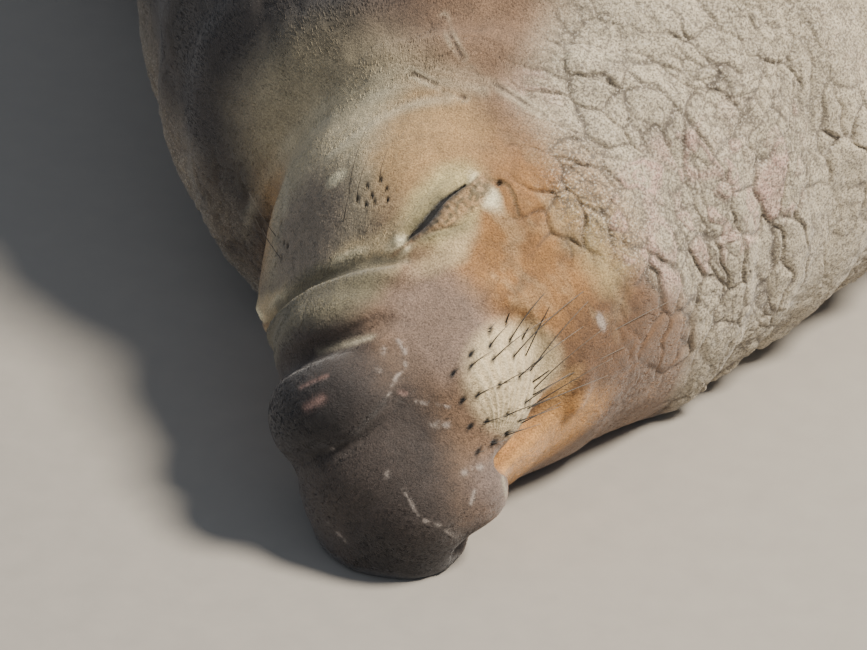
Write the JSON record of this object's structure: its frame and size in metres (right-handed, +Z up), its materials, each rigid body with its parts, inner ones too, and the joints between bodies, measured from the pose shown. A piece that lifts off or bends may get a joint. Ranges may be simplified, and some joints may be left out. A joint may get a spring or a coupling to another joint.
{
  "type": "elephant seal",
  "caption": "Life-size still model of a bull elephant seal asleep on its belly, head rolled onto its right cheek, with a drooping proboscis.",
  "frame": {"origin": "on the floor, under the middle of the animal's bounding box", "axes": "+Z is up, the seal faces -Y with its tail towards +Y, and its left side is +X"},
  "size_m": [1.8138, 4.1128, 0.8189],
  "materials": {
    "face_hide": "short dry fur, orange-brown on the cheeks and pale round the eyes",
    "nose_hide": "dark taupe skin with very short fur and pale scars",
    "neck_hide": "thick creased chest shield, dusty, with raised cracks and scars",
    "body_hide": "short smooth fur, matt",
    "eye": "wet and dark, behind nearly closed lids",
    "claw": "satin horn"
  },
  "bodies": {
    "root": {"head": "face_hide", "proboscis": "nose_hide", "lower_jaw": "face_hide", "eye_left": "eye", "eye_right": "eye", "neck": "neck_hide", "chest": "neck_hide", "belly": "body_hide", "hips": "body_hide", "tail": "body_hide", "fore_flipper_left": "body_hide", "fore_flipper_right": "body_hide", "hind_flipper_left": "body_hide", "hind_flipper_right": "body_hide", "claw_left_1": "claw", "claw_left_2": "claw", "claw_left_3": "claw", "claw_left_4": "claw", "claw_left_5": "claw", "claw_right_1": "claw", "claw_right_2": "claw", "claw_right_3": "claw", "claw_right_4": "claw", "claw_right_5": "claw"}
  },
  "joints": []
}
